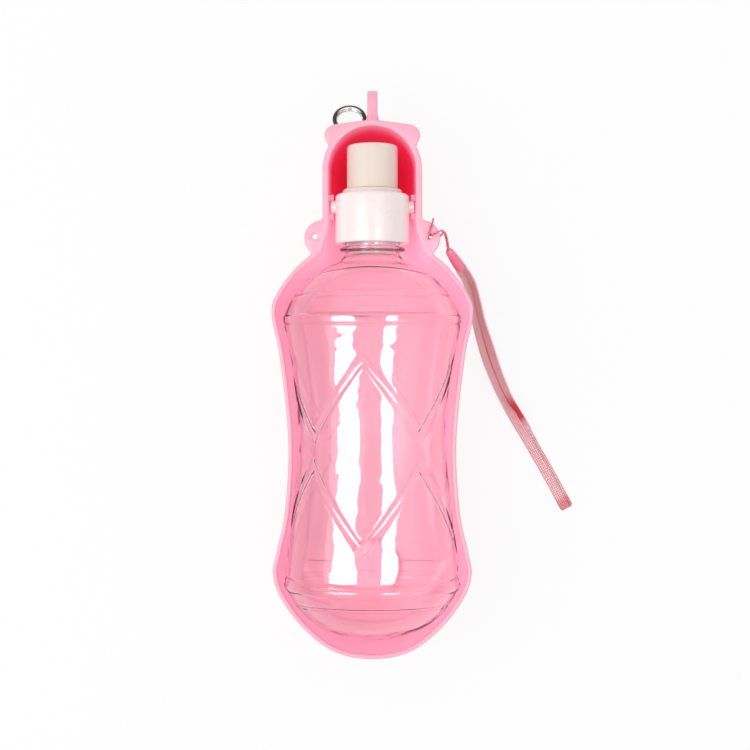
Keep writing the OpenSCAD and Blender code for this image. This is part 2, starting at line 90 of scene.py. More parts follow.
def sides_along(line, first=None):
    """At each point of a line: its direction and two square to it, carried along without twist."""
    frames, side = [], first or Vector((0, 0, 1))
    for i, p in enumerate(line):
        ahead = (line[min(i + 1, len(line) - 1)] - line[max(i - 1, 0)]).normalized()
        side = (side - ahead * side.dot(ahead)).normalized()
        frames.append((ahead, side, ahead.cross(side)))
    return frames


def rings_to_faces(rings, around, closed=False):
    """Four-sided faces between rings of equally many points."""
    faces = []
    for k in range(rings if closed else rings - 1):
        for i in range(around):
            j, n = (i + 1) % around, (k + 1) % rings
            faces.append((k * around + i, k * around + j, n * around + j, n * around + i))
    return faces


def make_piece(name, points, faces, sharp=40):
    """A mesh object with outward, smooth faces that keep edges over the sharp angle."""
    mesh = bpy.data.meshes.new(name)
    mesh.from_pydata([tuple(p) for p in points], [], faces)
    shape = bmesh.new()
    shape.from_mesh(mesh)
    bmesh.ops.recalc_face_normals(shape, faces=shape.faces)
    shape.to_mesh(mesh)
    shape.free()
    mesh.shade_smooth()
    mesh.set_sharp_from_angle(angle=math.radians(sharp))
    piece = bpy.data.objects.new(name, mesh)
    bpy.context.scene.collection.objects.link(piece)
    return piece


def finish_piece(piece, body, slot, material, *nodes):
    """Puts a piece on its CAD body, in place of its CAD nodes, with its material."""
    piece.data.materials.append(material)
    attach(piece, body)
    if nodes:
        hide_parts(*nodes)


class Finish:
    """A material with one Principled shader, and short ways to add nodes to it."""

    def __init__(self, name, colour, roughness, **sockets):
        self.material = bpy.data.materials.new(name)
        self.material.use_nodes = True
        self.tree = self.material.node_tree
        self.shader = self.tree.nodes["Principled BSDF"]
        self.shader.inputs["Base Color"].default_value = (*colour, 1)
        self.shader.inputs["Roughness"].default_value = roughness
        for socket, value in sockets.items():
            self.shader.inputs[socket.replace("_", " ")].default_value = value

    def node(self, kind, out=0, **inputs):
        """A node whose named inputs are numbers or other nodes' outputs."""
        made = self.tree.nodes.new(kind)
        for key, value in inputs.items():
            self.give(made, key, value)
        made["out"] = out
        return made

    def give(self, node, key, value):
        if hasattr(node, key):
            setattr(node, key, value)
            return
        socket = node.inputs[int(key[1:]) if key[1:].isdigit() else key.replace("_", " ")]
        if isinstance(value, bpy.types.Node):
            self.tree.links.new(value.outputs[value["out"]], socket)
        elif isinstance(value, bpy.types.NodeSocket):
            self.tree.links.new(value, socket)
        else:
            socket.default_value = value

    def place(self, axis=None):
        """The point on the piece in metres, or one of its three numbers."""
        at = self.node("ShaderNodeTexCoord", out=3)
        if axis is None:
            return at
        return self.node("ShaderNodeSeparateXYZ", out="XYZ".index(axis), Vector=at)

    def math(self, how, a, b=0.0, clamp=False):
        return self.node("ShaderNodeMath", operation=how, use_clamp=clamp, i0=a, i1=b)

    def noise(self, scale, detail=3, roughness=0.5, vector=None):
        return self.node("ShaderNodeTexNoise", Scale=scale, Detail=detail, Roughness=roughness,
                         Vector=vector or self.place())

    def ramp(self, value, *stops):
        """Colours or greys between stops of (position, colour)."""
        made = self.node("ShaderNodeValToRGB", i0=value)
        spots = made.color_ramp.elements
        while len(spots) < len(stops):
            spots.new(0.5)
        for spot, (position, colour) in zip(spots, stops):
            spot.position = position
            spot.color = (*colour, 1) if hasattr(colour, "__len__") else (colour, colour, colour, 1)
        return made

    def mix(self, share, a, b, how="MIX"):
        made = self.node("ShaderNodeMix", out=2, data_type="RGBA", blend_type=how)
        for socket, value in ((0, share), (6, a), (7, b)):
            if isinstance(value, bpy.types.Node):
                self.tree.links.new(value.outputs[value["out"]], made.inputs[socket])
            elif hasattr(value, "__len__"):
                made.inputs[socket].default_value = (*value, 1)
            else:
                made.inputs[socket].default_value = value
        return made

    def bump(self, height, distance, strength=1.0):
        """Fine relief of so many metres, added to what is there already."""
        made = self.node("ShaderNodeBump", Height=height, Distance=distance, Strength=strength)
        before = self.shader.inputs["Normal"]
        if before.is_linked:
            self.tree.links.new(before.links[0].from_socket, made.inputs["Normal"])
        self.tree.links.new(made.outputs[0], before)

    def colour(self, node):
        self.tree.links.new(node.outputs[node["out"]], self.shader.inputs["Base Color"])

    def rough(self, node):
        self.tree.links.new(node.outputs[node["out"]], self.shader.inputs["Roughness"])


strand_d = 0.85
twist_line = even_line(smooth_line([place(*p) for p in (
    (37.6, 21.9, 32.4), (36.9, 20.8, 33.3), (36.2, 18.6, 35.6), (35.6, 15.8, 38.6), (34.7, 13.4, 41.6),
    (33.7, 12.2, 44.0))], 12), 0.35 * mm)
wrap_line = smooth_line([place(*p) for p in (
    (33.2, 11.6, 45.0), (31.6, 12.2, 45.2), (29.6, 13.2, 45.0), (28.2, 13.9, 44.3), (27.7, 14.0, 42.6),
    (27.8, 13.3, 40.5), (28.1, 11.2, 40.1), (28.6, 8.4, 40.1), (28.9, 6.5, 40.7), (29.0, 5.9, 42.5),
    (28.8, 6.5, 44.3), (28.4, 8.2, 44.9), (27.6, 10.6, 44.8), (27.0, 12.9, 44.7), (26.7, 14.4, 43.8),
    (26.7, 14.9, 42.2), (27.1, 15.3, 40.6), (28.6, 15.6, 40.1), (30.6, 15.0, 40.1), (32.4, 13.9, 40.9),
    (33.4, 12.9, 42.6))], 8)
twists = 4.5
strands = []
for phase in (0, math.pi):
    strand = []
    twist_frames = sides_along(twist_line, Vector((1, 0, 0)))
    for i, (p, (ahead, side, across)) in enumerate(zip(twist_line, twist_frames)):
        turn = phase + 2 * math.pi * twists * i / (len(twist_line) - 1)
        strand.append(p + (side * math.cos(turn) + across * math.sin(turn)) * 0.46 * strand_d * mm)
    strands.append(strand)
hitch_line = even_line(strands[0] + wrap_line + strands[1][::-1], 0.9 * mm)
hitch_line = even_line(smooth_line(hitch_line, 4), 0.25 * mm)
cord_sides = 12
cord_points = []
for i, (p, (ahead, side, across)) in enumerate(zip(hitch_line, sides_along(hitch_line))):
    for k in range(cord_sides):
        a = 2 * math.pi * k / cord_sides
        plait = 1 + 0.07 * math.cos(3 * a + i * 0.8)
        cord_points.append(p + (side * math.cos(a) + across * math.sin(a)) * strand_d / 2 * plait * mm)
cord_faces = rings_to_faces(len(hitch_line), cord_sides)
cord_faces += [tuple(range(cord_sides)), tuple(range(len(cord_points) - cord_sides, len(cord_points)))]
hitch_cord = make_piece("hitch_cord", cord_points, cord_faces)
cord_red = Finish("cord_red", (0.72, 0.09, 0.15), 0.7, Sheen_Weight=0.3, Sheen_Roughness=0.4)
cord_red.colour(cord_red.ramp(cord_red.noise(1400, 2), (0.35, (0.60, 0.03, 0.08)), (0.65, (1.0, 0.26, 0.34))))
cord_red.bump(cord_red.noise(2500, 2), 0.0001)
finish_piece(hitch_cord, "trough_body", "strap_woven", cord_red.material, "strap_cord")


# The sleeve. A soft plastic tube that holds the cord's ends in its narrow top and the wrist
# loop's two ends, one beside the other, in its wide mouth.
sleeve_line = even_line([place(36.6, 20.0, 34.0), place(43.3, 28.6, 26.8)], 0.3 * mm)
sleeve_length = (sleeve_line[-1] - sleeve_line[0]).length / mm
sleeve_sides = 32


def sleeve_shape(f):
    """Half width and half thickness of the sleeve, from its narrow top at 0 to its mouth at 1."""
    return (1.8 + 0.95 * f + 0.25 * math.sin(math.pi * f)) * mm, (1.4 + 0.9 * f) * mm


sleeve_rings = []
sleeve_frames = sides_along(sleeve_line, Vector((0, 0, 1)))
for i, (p, (ahead, up, across)) in enumerate(zip(sleeve_line, sleeve_frames)):
    f = i / (len(sleeve_line) - 1)
    wide, thick = sleeve_shape(f)
    rim = min(1, 0.75 + f * sleeve_length / 0.8 * 0.25, 0.8 + (1 - f) * sleeve_length / 0.8 * 0.2)
    sleeve_rings.append([p + across * math.cos(a) * wide * rim + up * math.sin(a) * thick * rim
                         for a in [2 * math.pi * k / sleeve_sides for k in range(sleeve_sides)]])


def shrink_ring(ring, share, shift):
    middle = sum(ring, Vector()) / len(ring)
    return [middle + (p - middle) * share + shift for p in ring]


sleeve_run = sleeve_frames[0][0] * mm
sleeve_top = [shrink_ring(sleeve_rings[0], share, sleeve_run * shift)
              for share, shift in ((0.2, 2.2), (0.5, 0.8), (0.8, 0.02))]
sleeve_mouth = [shrink_ring(sleeve_rings[-1], share, sleeve_run * shift)
                for share, shift in ((0.82, 0.0), (0.7, -0.8), (0.5, -2.5))]
sleeve_rings = sleeve_top + sleeve_rings + sleeve_mouth
sleeve_faces = rings_to_faces(len(sleeve_rings), sleeve_sides)
sleeve_faces += [tuple(range(sleeve_sides)),
                 tuple(range((len(sleeve_rings) - 1) * sleeve_sides, len(sleeve_rings) * sleeve_sides))]
loop_sleeve = make_piece("loop_sleeve", [p for ring in sleeve_rings for p in ring], sleeve_faces, 50)
sleeve_pink = Finish("sleeve_pink", (0.98, 0.22, 0.36), 0.42)
sleeve_cloud = sleeve_pink.noise(180, 3)
sleeve_pink.colour(sleeve_pink.ramp(sleeve_cloud, (0.3, (1.0, 0.23, 0.36)), (0.7, (1.0, 0.29, 0.42))))
sleeve_pink.rough(sleeve_pink.ramp(sleeve_pink.noise(700, 3), (0.3, 0.36), (0.7, 0.5)))
sleeve_pink.bump(sleeve_pink.noise(900, 2), 0.00004)
finish_piece(loop_sleeve, "trough_body", "sleeve_plastic", sleeve_pink.material, "strap_ferrule")


# The wrist loop. One flat woven band leaves the sleeve, lies on the table, folds over at its far
# end and comes back beside and under itself, tipped on its edge, into the same sleeve.
band_w = 4.9
band_t = 0.95
loop_middle = even_line(smooth_line([place(*p) for p in (
    (42.4, 27.6, 27.7), (45.6, 31.8, 23.0), (48.2, 36.2, 16.6), (50.2, 41.4, 10.4), (52.0, 47.4, 5.6),
    (53.9, 54.6, 2.8), (56.2, 63.0, 1.6), (59.3, 73.0, 1.1), (63.1, 83.0, 1.1), (67.4, 92.8, 1.1),
    (72.0, 101.2, 1.1), (76.9, 109.4, 1.1), (81.9, 118.0, 1.1), (87.0, 126.8, 1.1), (92.6, 137.0, 1.1),
    (97.4, 146.0, 1.1))], 10), 0.5 * mm)
loop_frames = sides_along(loop_middle, Vector((0, 0, 1)))


def ease(x, low, high):
    """From 0 at low to 1 at high, with soft ends."""
    t = min(1, max(0, (x - low) / (high - low)))
    return t * t * (3 - 2 * t)


# Along the loop: how far the left and the right run stand off its middle line, in millimetres, and
# how far each is tipped. They open like a valley, then the right run turns over and slides under.
run_table = [
    (0.0, -1.0, -40, 1.2, 58), (0.06, -1.15, -45, 1.5, 62), (0.24, -1.75, -44, 1.4, 56),
    (0.39, -1.9, -40, 1.9, 40),
    (0.5, -1.75, -44, 1.7, 46), (0.58, -1.4, -42, 1.9, 62), (0.63, -0.75, -8, 2.4, 72),
    (0.67, -0.85, 4, 2.1, 52),
    (0.71, -0.85, 8, 1.2, 12), (0.77, -0.85, 3, 0.9, 3), (1.0, -0.85, 2, 0.9, 2)]


def run_at(i, back):
    """Centre of the band, its cross and face directions, and how far it is tipped, in one run."""
    f = i / (len(loop_middle) - 1)
    k = max(n for n, row in enumerate(run_table[:-1]) if row[0] <= f)
    before, after = run_table[k], run_table[k + 1]
    g = ease(f, before[0], after[0])
    shift, tip = [before[n] + (after[n] - before[n]) * g for n in ((3, 4) if back else (1, 2))]
    p, (ahead, up, across) = loop_middle[i], loop_frames[i]
    right = Vector((0, 0, 1)).cross(ahead).normalized()
    above = ahead.cross(right)
    above = above if above.z > 0 else -above
    stack = ease(f, 0.6, 0.7)
    lift = band_w / 2 * math.sin(math.radians(abs(tip))) * ease(f, 0.02, 0.3)
    lift += (-0.45 if back else 0.55) * stack
    a = math.radians(tip)
    return (p + (right * shift + above * lift) * mm, right * math.cos(a) + above * math.sin(a),
            above * math.cos(a) - right * math.sin(a), tip)


out_run = [(*run_at(i, False), i, False) for i in range(len(loop_middle))]
back_run = [(*run_at(i, True), i, True) for i in range(len(loop_middle) - 1, -1, -1)]
fold = []
(p0, w0, f0), (p1, w1, f1) = out_run[-1][:3], back_run[0][:3]
tip_ahead = loop_frames[-1][0]
for k in range(1, 12):
    turn = math.pi * k / 12
    middle = (p0 + p1) / 2 + (p0 - p1) / 2 * math.cos(turn) + tip_ahead * 1.1 * math.sin(turn) * mm
    fold_face = f0 * math.cos(turn) + tip_ahead * math.sin(turn)
    fold.append((middle, w0, fold_face, 0, len(loop_middle) - 1, False))
strap_run = out_run + fold + [(p, w, -f, tip, i, back) for p, w, f, tip, i, back in back_run]
half_section = [(-1, 0), (-0.985, 0.75), (-0.93, 1.05), (-0.87, 0.8), (-0.7, 0.98), (-0.5, 0.8),
                (-0.25, 0.98),
                (0, 0.8), (0.25, 0.98), (0.5, 0.8), (0.7, 0.98), (0.87, 0.8), (0.93, 1.05),
                (0.985, 0.75), (1, 0)]
band_section = half_section + [(x, -z) for x, z in half_section[-2:0:-1]]
strap_points, strap_uvs, strap_deep = [], [], []
along = 0
for k, (p, wide, face, tip, at, back) in enumerate(strap_run):
    along += (p - strap_run[k - 1][0]).length if k else 0
    f = at / (len(loop_middle) - 1)
    rib = 1 + 0.03 * math.sin(along / (0.45 * mm) * math.pi)
    # Painted shade: the band's colour turns deep red where the back run stands on its edge, along the inner
    # edges in the valley between the two runs near the sleeve, and at the far fold.
    steep_shade = ease(abs(tip), 46, 66) * ease(f, 0.53, 0.6) * (1 if back else 0)
    for x, z in band_section:
        strap_points.append(p + wide * x * band_w / 2 * mm + face * z * band_t / 2 * rib * mm)
        strap_uvs.append((along, x * band_w / 2 * mm))
        valley = ease(-x if back else x, 0.6, 0.9) * (1 - ease(f, 0.62, 0.67))
        strap_deep.append(max(steep_shade, valley, 0.55 * ease(f, 0.955, 0.985)))
strap_faces = rings_to_faces(len(strap_run), len(band_section))
strap_faces += [tuple(range(len(band_section))),
                tuple(range(len(strap_points) - len(band_section), len(strap_points)))]
wrist_loop = make_piece("wrist_loop", strap_points, strap_faces, 60)
weave_map = wrist_loop.data.uv_layers.new(name="weave")
for loop in wrist_loop.data.loops:
    weave_map.data[loop.index].uv = strap_uvs[loop.vertex_index]
wrist_loop.data.attributes.new("deep", "FLOAT", "POINT").data.foreach_set("value", strap_deep)

woven = Finish("woven_band", (0.95, 0.5, 0.55), 0.8, Sheen_Weight=0.04, Sheen_Roughness=0.4)
thread = woven.node("ShaderNodeSeparateXYZ", Vector=woven.node("ShaderNodeUVMap", uv_map="weave"))
run, side = thread.outputs[0], thread.outputs[1]
column = woven.math("MULTIPLY", side, 1 / (0.98 * mm))
slant = woven.math("ABSOLUTE", woven.math("SUBTRACT", woven.math("FRACT", column), 0.5))
stitch_run = woven.math("MULTIPLY", run, 1 / (1.05 * mm))
stitch = woven.math("FRACT", woven.math("ADD", stitch_run, woven.math("MULTIPLY", slant, 1.5)))
off_middle = woven.math("ABSOLUTE", woven.math("SUBTRACT", woven.math("MULTIPLY", stitch, 2.0), 1.0))
stitch_height = woven.math("SUBTRACT", 1.0, off_middle)
column_edge = woven.math("MULTIPLY", slant, 2.0)
thread_height = woven.math("MULTIPLY", woven.math("POWER", stitch_height, 0.6),
                           woven.math("SUBTRACT", 1.0, woven.math("POWER", column_edge, 5.0)))
fluff = woven.noise(900, 3)
shade = woven.math("ADD", woven.math("MULTIPLY", thread_height, 0.75), woven.math("MULTIPLY", fluff, 0.35))
light_thread = woven.ramp(shade, (0.22, (0.55, 0.03, 0.07)), (0.42, (0.86, 0.22, 0.27)),
                          (0.6, (1.0, 0.62, 0.64)), (0.85, (1.0, 0.92, 0.92)))
# The painted shade mixes the weave's colour over to this deep red.
deep_thread = woven.ramp(shade, (0.1, (0.42, 0.008, 0.025)), (0.8, (0.85, 0.05, 0.08)))
deep = woven.node("ShaderNodeAttribute", out=2, attribute_name="deep")
woven.colour(woven.mix(deep, light_thread, deep_thread))
woven.bump(thread_height, 0.00014)
finish_piece(wrist_loop, "trough_body", "strap_woven", woven.material, "wrist_strap")


# The drinking trough. One injection-moulded shell of pink plastic with a flat back, leaning
# walls and a rounded rim; the hood's ears and the strap ears are flat plates flush with the rim.
rim_z, floor_t, floor_r, draft, ear_t = 44, 2, 13, 1.9, 3
hood_half, arch_reach, hood_wall, body_wall = 23.7, 41.1, 3, 2.1
hood_end, upper, waist, lower, tip = (23.7, 10), (48, 51), (40, 111), (47.3, 174.6), (0, 215.2)
arch_s = hood_half - arch_reach


def between(a, b, fx, fs):
    return (a[0] + (b[0] - a[0]) * fx, a[1] + (b[1] - a[1]) * fs)


low_side = between(tip, lower, 0.37, 0.08)
side_stations = [
    (hood_half, arch_s), hood_end, between(hood_end, upper, 0.115, 0.244),
    between(hood_end, upper, 0.527, 0.473),
    between(hood_end, upper, 0.877, 0.751), upper, between(upper, waist, 0.5, 0.35), waist,
    between(waist, lower, 0.2, 0.52), between(waist, lower, 0.74, 0.83),
    lower, between(tip, lower, 0.92, 0.71),
    between(tip, lower, 0.68, 0.345), low_side, tip, (-low_side[0], low_side[1])]


def catmull(stations, steps):
    """The CAD's own smooth curve through all stations but the first and last."""
    line = []
    rows = [Vector(p) for p in stations]
    for a, b, c, d in zip(rows, rows[1:], rows[2:], rows[3:]):
        for k in range(steps):
            t = k / steps
            line.append((b * 2 + (c - a) * t + (a * 2 - b * 5 + c * 4 - d) * t * t
                         + (b * 3 - a - c * 3 + d) * t ** 3) / 2)
    return line + [rows[-2]]


arch = [Vector((hood_half * math.sin(a), arch_s - hood_half * math.cos(a)))
        for a in [math.pi / 2 * k / 60 for k in range(60)]]
half_rim = arch + [Vector((hood_half, arch_s + (10 - arch_s) * k / 30)) for k in range(30)]
half_rim += catmull(side_stations, 24)[24:]
half_rim = even_line([p.to_3d() for p in half_rim], 0.62)
rim_line = [p.to_2d() for p in half_rim] + [Vector((-p.x, p.y)) for p in half_rim[-2:0:-1]]
rim_count = len(rim_line)


def outward(line):
    """Unit normals that point out of a closed outline in x and s."""
    out = []
    for i in range(len(line)):
        d = line[(i + 1) % len(line)] - line[i - 1]
        out.append(Vector((d.y, -d.x)).normalized())
    return out


rim_out = outward(rim_line)
ears = [(Vector((side * hood_half * 0.751, 7.4 - arch_reach)), 5.2) for side in (1, -1)]
ears += [(Vector((side * (hood_half + 0.1), 15.2)), 8.6) for side in (1, -1)]
plate_line = list(rim_line)
for middle, r in ears:
    inside = [i for i, p in enumerate(rim_line) if (p - middle).length < r]
    first, last = inside[0], inside[-1]
    a0 = math.atan2(*(rim_line[first] - middle).yx)
    a1 = math.atan2(*(rim_line[last] - middle).yx)
    while a1 < a0:
        a1 += 2 * math.pi
    for i in inside:
        f = (i - first) / (last - first)
        a = a0 + (a1 - a0) * f
        plate_line[i] = middle + Vector((math.cos(a), math.sin(a))) * r

# The small ears' top edges run on straight to the hood's arch, and the outline is smoothed a little
ear_turn = math.radians(7.5)
for middle, r in ears[:2]:
    foot = Vector((math.copysign(hood_half * math.sin(ear_turn), middle.x),
                   arch_s - hood_half * math.cos(ear_turn)))
    lean_out = Vector((math.copysign(math.sin(ear_turn), middle.x), -math.cos(ear_turn)))
    crest = middle + lean_out * r
    low, high = sorted((foot.x, crest.x))
    for i, p in enumerate(plate_line):
        if low < p.x < high and p.y < arch_s - 10:
            f = (p.x - foot.x) / (crest.x - foot.x)
            plate_line[i] = Vector((p.x, foot.y + (crest.y - foot.y) * f))
for step in range(4):
    plate_line = [p * 0.5 + (plate_line[i - 1] + plate_line[(i + 1) % rim_count]) * 0.25
                  for i, p in enumerate(plate_line)]
plate_out = outward(plate_line)
shoulder_s = upper[1] * 0.7
wall_at = [hood_wall + (body_wall - hood_wall)
           * min(1, max(0, (p.y - hood_end[1]) / (shoulder_s - hood_end[1]))) for p in rim_line]


def rim_ring(inset, z):
    """The rim line moved in, by one number or one for each point, at height z."""
    inset = inset if hasattr(inset, "__len__") else [inset] * rim_count
    return [place(*(p - n * d), z) for p, n, d in zip(rim_line, rim_out, inset)]


def plate_ring(inset, z):
    return [place(*(p - n * inset), z) for p, n in zip(plate_line, plate_out)]


def lean(z):
    return draft * (rim_z - z) / (rim_z - floor_r) if z >= floor_r else draft + floor_r - math.sqrt(
        floor_r ** 2 - (floor_r - z) ** 2)


lip_in = 0.3
shell_rings = []
for k in range(17):
    a = math.pi / 2 * (1 - k / 16)
    shell_rings.append((rim_ring(draft + floor_r * (1 - math.cos(a)) + lip_in,
                                 floor_r * (1 - math.sin(a))), 0))
shell_rings += [(rim_ring(lean(z) + lip_in, z), 0) for z in (18, 24, 30, 36, 40.6)]
shell_rings += [(rim_ring(lip_in + 0.15, 41), 0), (plate_ring(0.45, 41), 0), (plate_ring(0.12, 41.15), 0),
                (plate_ring(0, 41.6), 0), (plate_ring(0, 43), 0), (plate_ring(0.1, 43.5), 0),
                (plate_ring(0.35, 43.87), 0), (plate_ring(0.75, 44), 0)]
shell_rings += [(rim_ring([w - 0.75 for w in wall_at], 44), 0),
                (rim_ring([w - 0.32 for w in wall_at], 43.86), 0.4),
                (rim_ring([w - 0.08 for w in wall_at], 43.5), 0.8), (rim_ring(wall_at, 43), 1)]
for z in (40, 36, 30, 24, 18):
    shell_rings.append((rim_ring([w + draft * (rim_z - z) / (rim_z - floor_r) for w in wall_at], z), 1))
for k in range(17):
    a = math.pi / 2 * k / 16
    shell_rings.append((rim_ring([draft + floor_r - (floor_r - w) * math.cos(a) for w in wall_at],
                                 floor_r - (floor_r - floor_t) * math.sin(a)), 1))
points = [p for ring, inner in shell_rings for p in ring]
inner_flags = [inner for ring, inner in shell_rings for p in ring]
faces = rings_to_faces(len(shell_rings), rim_count)
for first in (0, (len(shell_rings) - 1) * rim_count):
    for i in range(rim_count // 2):
        a, b = first + i, first + i + 1
        c, d = first + (rim_count - i - 1) % rim_count, first + (rim_count - i) % rim_count
        face = list(dict.fromkeys((a, b, c, d)))
        if len(face) > 2:
            faces.append(tuple(face))


def keep_flags(piece, flags):
    """Stores how far inside the trough each point counts, for the colour."""
    piece.data.attributes.new("inner", "FLOAT", "POINT").data.foreach_set("value", flags)


shell = make_piece("drinking_trough", points, faces, 50)
keep_flags(shell, inner_flags)
hole_x, hole_s, hole_r, flare_r, hole_sides = 27.2, 14.4, 1.35, 1.75, 32
hole_cutters = []
for side in (1, -1):
    ring, flare = [[(hole_x * side + r * math.cos(a), hole_s + r * math.sin(a)) for a in
                    [2 * math.pi * k / hole_sides for k in range(hole_sides)]] for r in (hole_r, flare_r)]
    levels = [(flare, 40.5), (ring, 41.3), (ring, 43.7), (flare, 44.1), (flare, 45)]
    hole_points = [place(x, s, z) for outline, z in levels for x, s in outline]
    hole_faces = rings_to_faces(len(levels), hole_sides)
    hole_faces += [tuple(range(hole_sides)),
                   tuple(range((len(levels) - 1) * hole_sides, len(levels) * hole_sides))]
    cutter = make_piece("hole_cutter", hole_points, hole_faces)
    cut = shell.modifiers.new("hole", "BOOLEAN")
    cut.operation, cut.solver, cut.object = "DIFFERENCE", "EXACT", cutter
    hole_cutters.append(cutter)
bpy.context.view_layer.update()
cut_mesh = bpy.data.meshes.new_from_object(shell.evaluated_get(bpy.context.evaluated_depsgraph_get()))
shell.modifiers.clear()
shell.data = cut_mesh
for cutter in hole_cutters:
    bpy.data.objects.remove(cutter)


def slab(outline, low, high, edge, flare=None):
    """Rings that raise an outline in (s, z) to a plate standing across x, with rounded edges."""
    count = len(outline)
    middle = sum((Vector(p) for p in outline), Vector((0, 0))) / count
    turns = outward([Vector(p) for p in outline])
    if sum((Vector(p) - middle).dot(n) for p, n in zip(outline, turns)) < 0:
        turns = [-n for n in turns]
    rings = []
    for x, inset in ((low, edge), (low + 0.3 * edge, 0.3 * edge), (low + edge, 0), (high - edge, 0),
                     (high - 0.3 * edge, 0.3 * edge), (high, edge)):
        ring = []
        for p, n in zip(outline, turns):
            wide = flare(p) if flare else 1
            q = Vector(p) - n * inset
            ring.append(place((low + high) / 2 + (x - (low + high) / 2) * wide, q.x, q.y))
        rings.append(ring)
    return rings


def round_end(middle_s, middle_z, r, root_s, steps=28):
    """Outline of a plate with a round end, from its root on the hood round to the root again."""
    arc = [(middle_s - r * math.sin(a), middle_z - r * math.cos(a)) for a in
           [math.pi * k / steps for k in range(steps + 1)]]
    side = [(middle_s + (root_s - middle_s) * k / 12, middle_z + r) for k in range(1, 13)]
    return [(s, 2 * middle_z - z) for s, z in side[::-1]] + arc + side


def eyed_plate(outline, eye, low, high, edge, flare=None):
    """A plate with rounded edges and a round eye through it, as points and faces."""
    rings = slab(outline, low, high, edge, flare)
    count = len(outline)
    (eye_s, eye_z), eye_r = eye
    angles = [math.atan2(z - eye_z, s - eye_s) for s, z in outline]
    for i in range(1, count):
        while angles[i] - angles[i - 1] > math.pi:
            angles[i] -= 2 * math.pi
        while angles[i] - angles[i - 1] < -math.pi:
            angles[i] += 2 * math.pi
    def eye_ring(x, r):
        return [place(x, eye_s + r * math.cos(a), eye_z + r * math.sin(a)) for a in angles]
    steps = ((0.5, 0), (0.15, 0.15), (0, 0.5))
    rings = ([eye_ring(low + x, eye_r + r) for x, r in steps] + rings
             + [eye_ring(high - x, eye_r + r) for x, r in steps[::-1]])
    return [p for ring in rings for p in ring], rings_to_faces(len(rings), count, closed=True)


def add_part(piece, points, faces, inner, sharp=50):
    """Joins a part to a piece that is one moulding with it."""
    extra = make_piece("part", points, faces, sharp)
    keep_flags(extra, [inner] * len(extra.data.vertices))
    with bpy.context.temp_override(active_object=piece, selected_editable_objects=[piece, extra]):
        bpy.ops.object.join()


lug_root = arch_s - math.sqrt((hood_half - lean(18)) ** 2 - 2.5 ** 2) + 0.6
lug_outline = round_end(-50.1, 26, 8, lug_root)
add_part(shell, *eyed_plate(lug_outline, ((-50.1, 26), 4), -2.5, 2.5, 0.7,
                            lambda p: 1 + 0.5 * ease(p[0], lug_root - 4.2, lug_root - 0.2) ** 2), 0)
ring_x, ring_s, ring_z = -11.4, -41.0, 9.66585
ring_lug_root = arch_s - math.sqrt((hood_half - lean(ring_z - 3.92)) ** 2 - ring_x ** 2) + 0.6
add_part(shell, *eyed_plate(round_end(ring_s, ring_z, 3.92, ring_lug_root), ((ring_s, ring_z), 2.32),
                            ring_x - 1.3, ring_x + 1.3, 0.4), 0)

pivot_z, pin_r, socket_r, socket_bore, socket_lip = 38, 3.2, 6.0, 3.3, 1.4
outer_angle, gap_angle = math.asin(socket_lip / socket_r), math.asin(socket_lip / socket_bore)
socket_outline = [(socket_r * math.cos(a), pivot_z + socket_r * math.sin(a)) for a in
                  [outer_angle - (math.pi + 2 * outer_angle) * k / 40 for k in range(41)]]
socket_outline += [(socket_bore * math.cos(a), pivot_z + socket_bore * math.sin(a)) for a in
                   [math.pi - gap_angle + (math.pi + 2 * gap_angle) * k / 30 for k in range(31)]]
for low, high in ((18.4, 22.2), (-22.2, -18.4)):
    rings = slab(socket_outline, low, high, 0.45)
    count = len(socket_outline)
    add_part(shell, [p for ring in rings for p in ring], rings_to_faces(len(rings), count)
             + [tuple(range(count)), tuple(range((len(rings) - 1) * count, len(rings) * count))], 0.2, 30)


def turned(profile, centre, axis, sides, cap=True):
    """Points and faces of a turned form: profile is (distance along, radius), in millimetres."""
    ahead = Vector(axis)
    u = ahead.orthogonal().normalized()
    v = ahead.cross(u)
    points = [centre + (ahead * h + (u * math.cos(a) + v * math.sin(a)) * r) * mm
              for h, r in profile for a in [2 * math.pi * k / sides for k in range(sides)]]
    faces = rings_to_faces(len(profile), sides)
    if cap:
        faces += [tuple(range(sides)), tuple(range((len(profile) - 1) * sides, len(profile) * sides))]
    return points, faces


pad_profile = [(-0.4, 15.2), (0.15, 14.7), (0.5, 14.25), (1.2, 14.0), (2.8, 13.9), (3.6, 13.6),
               (4.1, 13.0), (4.4, 12.2),
               (4.55, 10.5), (4.66, 7.5), (4.7, 4), (4.7, 0.5)]
add_part(shell, *turned(pad_profile, place(0, 176.6, floor_t), (0, 0, 1), 72), 1, 60)

pink = Finish("moulded_pink", (1.0, 0.515, 0.658), 0.36, Specular_IOR_Level=0.45)
inner = pink.node("ShaderNodeAttribute", out=2, attribute_name="inner")
depth = pink.math("MULTIPLY", pink.math("SUBTRACT", rim_z * mm, pink.place("Z")), 1 / (rim_z * mm))
along_hood = pink.math("MULTIPLY", pink.place("Y"), 1 / (100 * mm))
towards_hood = pink.ramp(along_hood, (0.72, 0.0), (0.84, 1.0))
cloud = pink.noise(14, 3)
rim_colour = pink.ramp(cloud, (0.3, (0.99, 0.430, 0.570)), (0.7, (1.0, 0.460, 0.600)))
# Painted shade: the inside's colour darkens with depth below the rim, slightly in the bowl and to deep
# crimson in the hood, which is mixed in towards the hood's end.
bowl_colour = pink.ramp(depth, (0.02, (1.0, 0.44, 0.60)), (0.2, (1.0, 0.44, 0.60)), (0.6, (1.0, 0.43, 0.57)),
                        (1.0, (1.0, 0.42, 0.55)))
hood_painted_shade_colour = pink.ramp(depth, (0.02, (1.0, 0.42, 0.58)), (0.16, (1.0, 0.24, 0.40)),
                        (0.38, (0.93, 0.06, 0.16)),
                        (0.9, (0.85, 0.03, 0.10)))
inside_colour = pink.mix(towards_hood, bowl_colour, hood_painted_shade_colour)
pink.colour(pink.mix(inner, rim_colour, inside_colour))
